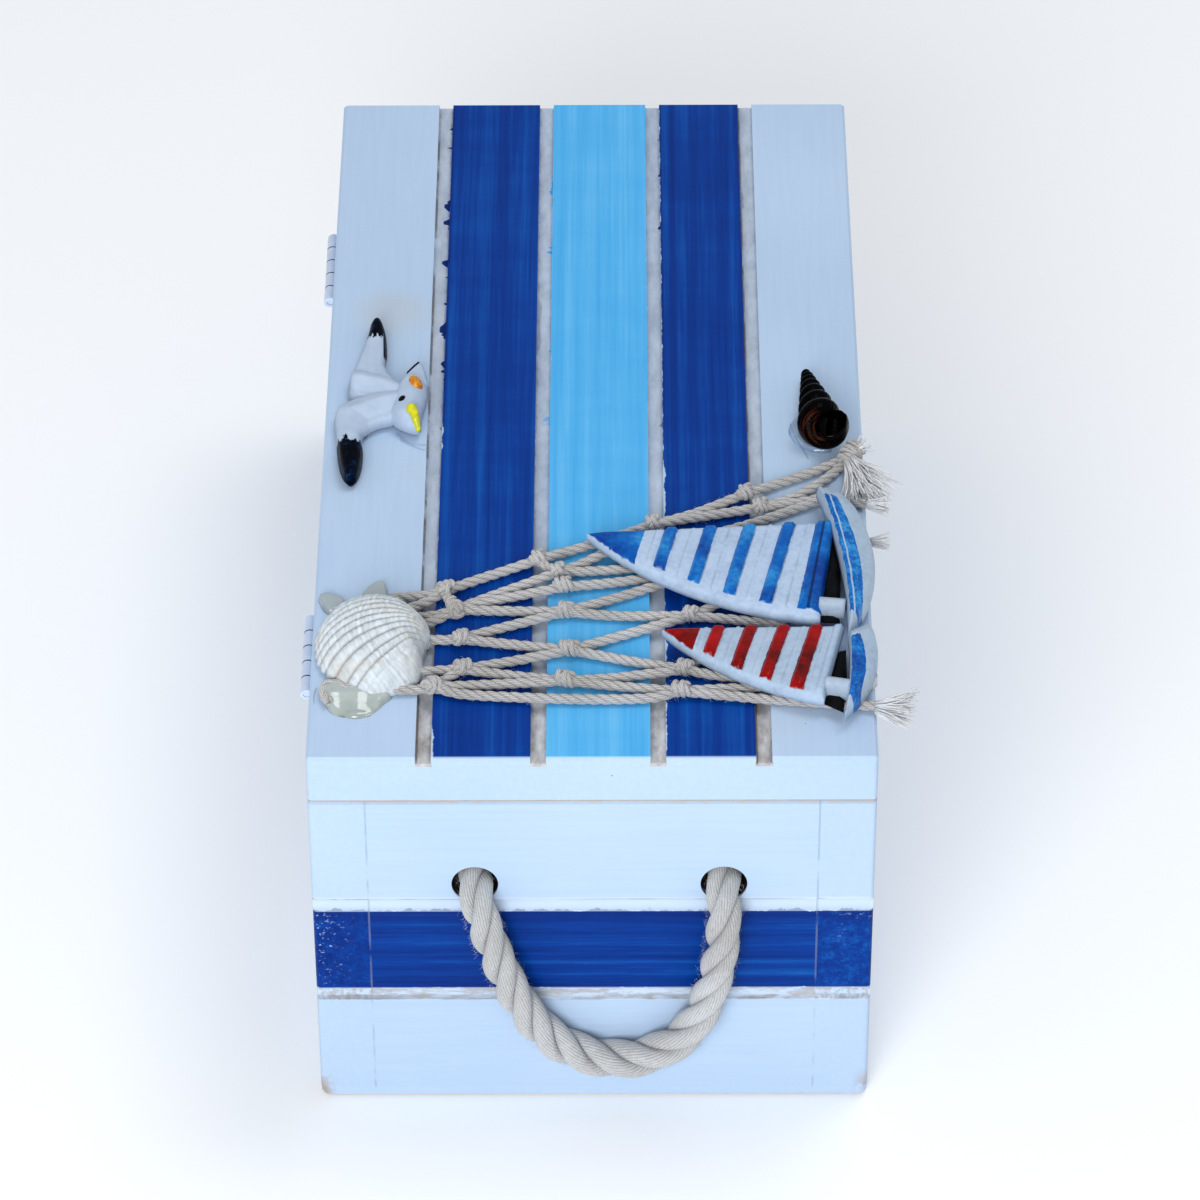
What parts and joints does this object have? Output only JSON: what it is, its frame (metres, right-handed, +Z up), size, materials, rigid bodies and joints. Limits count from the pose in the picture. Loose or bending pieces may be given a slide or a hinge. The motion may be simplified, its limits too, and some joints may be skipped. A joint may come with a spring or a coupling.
{
  "type": "ditty box",
  "caption": "Small painted wooden keepsake box with a hinged lid and a rope end handle, the lid trimmed with netting, sailboats, a gull and sea shells.",
  "frame": {"origin": "centre of the underside of the base board", "axes": "+Y along the length away from the rope handle, +X from the hinge side to the opening side, +Z up"},
  "size_m": [0.127, 0.2433, 0.1121],
  "materials": {
    "white_painted_mdf": "white brushed paint over MDF, with a dark blue band across both ends",
    "blue_painted_mdf": "planks painted white, dark blue, light blue, dark blue and white, satin, with bare grooves",
    "painted_hinge": "steel hinge leaf under the same white paint",
    "hinge_steel": "plated steel",
    "cotton_rope": "off-white three-strand cotton, fuzzy",
    "net_cotton": "grey-beige twisted cotton, hairy",
    "cast_resin": "white cast resin, hand-painted details",
    "white_shell": "natural sea shell, chalky",
    "dark_shell": "natural sea shell, dark and glossy",
    "hot_glue": "clear hot-melt glue"
  },
  "bodies": {
    "box": {"base_board": "white_painted_mdf", "hinge_side_board": "white_painted_mdf", "opening_side_board": "white_painted_mdf", "front_end_panel": "white_painted_mdf", "rear_end_panel": "white_painted_mdf", "front_hinge_box_leaf": "painted_hinge", "rear_hinge_box_leaf": "painted_hinge", "front_hinge_pin": "hinge_steel", "rear_hinge_pin": "hinge_steel", "box_leaf_screws": "hinge_steel", "rope_through_left": "cotton_rope", "rope_through_right": "cotton_rope", "rope_knot_left": "cotton_rope", "rope_knot_right": "cotton_rope"},
    "lid": {"lid_board": "blue_painted_mdf", "front_hinge_lid_leaf": "painted_hinge", "rear_hinge_lid_leaf": "painted_hinge", "lid_leaf_screws": "hinge_steel", "fishing_net": "net_cotton", "large_sailboat": "cast_resin", "small_sailboat": "cast_resin", "sailboat_glue": "hot_glue", "seagull": "cast_resin", "seagull_glue": "hot_glue", "cockle_shell": "white_shell", "cockle_glue": "hot_glue", "turret_shell": "dark_shell", "turret_glue": "hot_glue"},
    "rope_handle": {"rope_loop": "cotton_rope"}
  },
  "joints": [
    {"name": "lid_hinge", "type": "hinge", "parent": "box", "child": "lid", "pos_m": [-0.0615, 0, 0.08785], "axis": [0, -1, 0], "range_deg": [0, 190]},
    {"name": "front_handle_swing", "type": "hinge", "parent": "box", "child": "rope_handle", "pos_m": [0, -0.1218, 0.0644], "axis": [-1, 0, 0], "range_deg": [0, 170]}
  ]
}
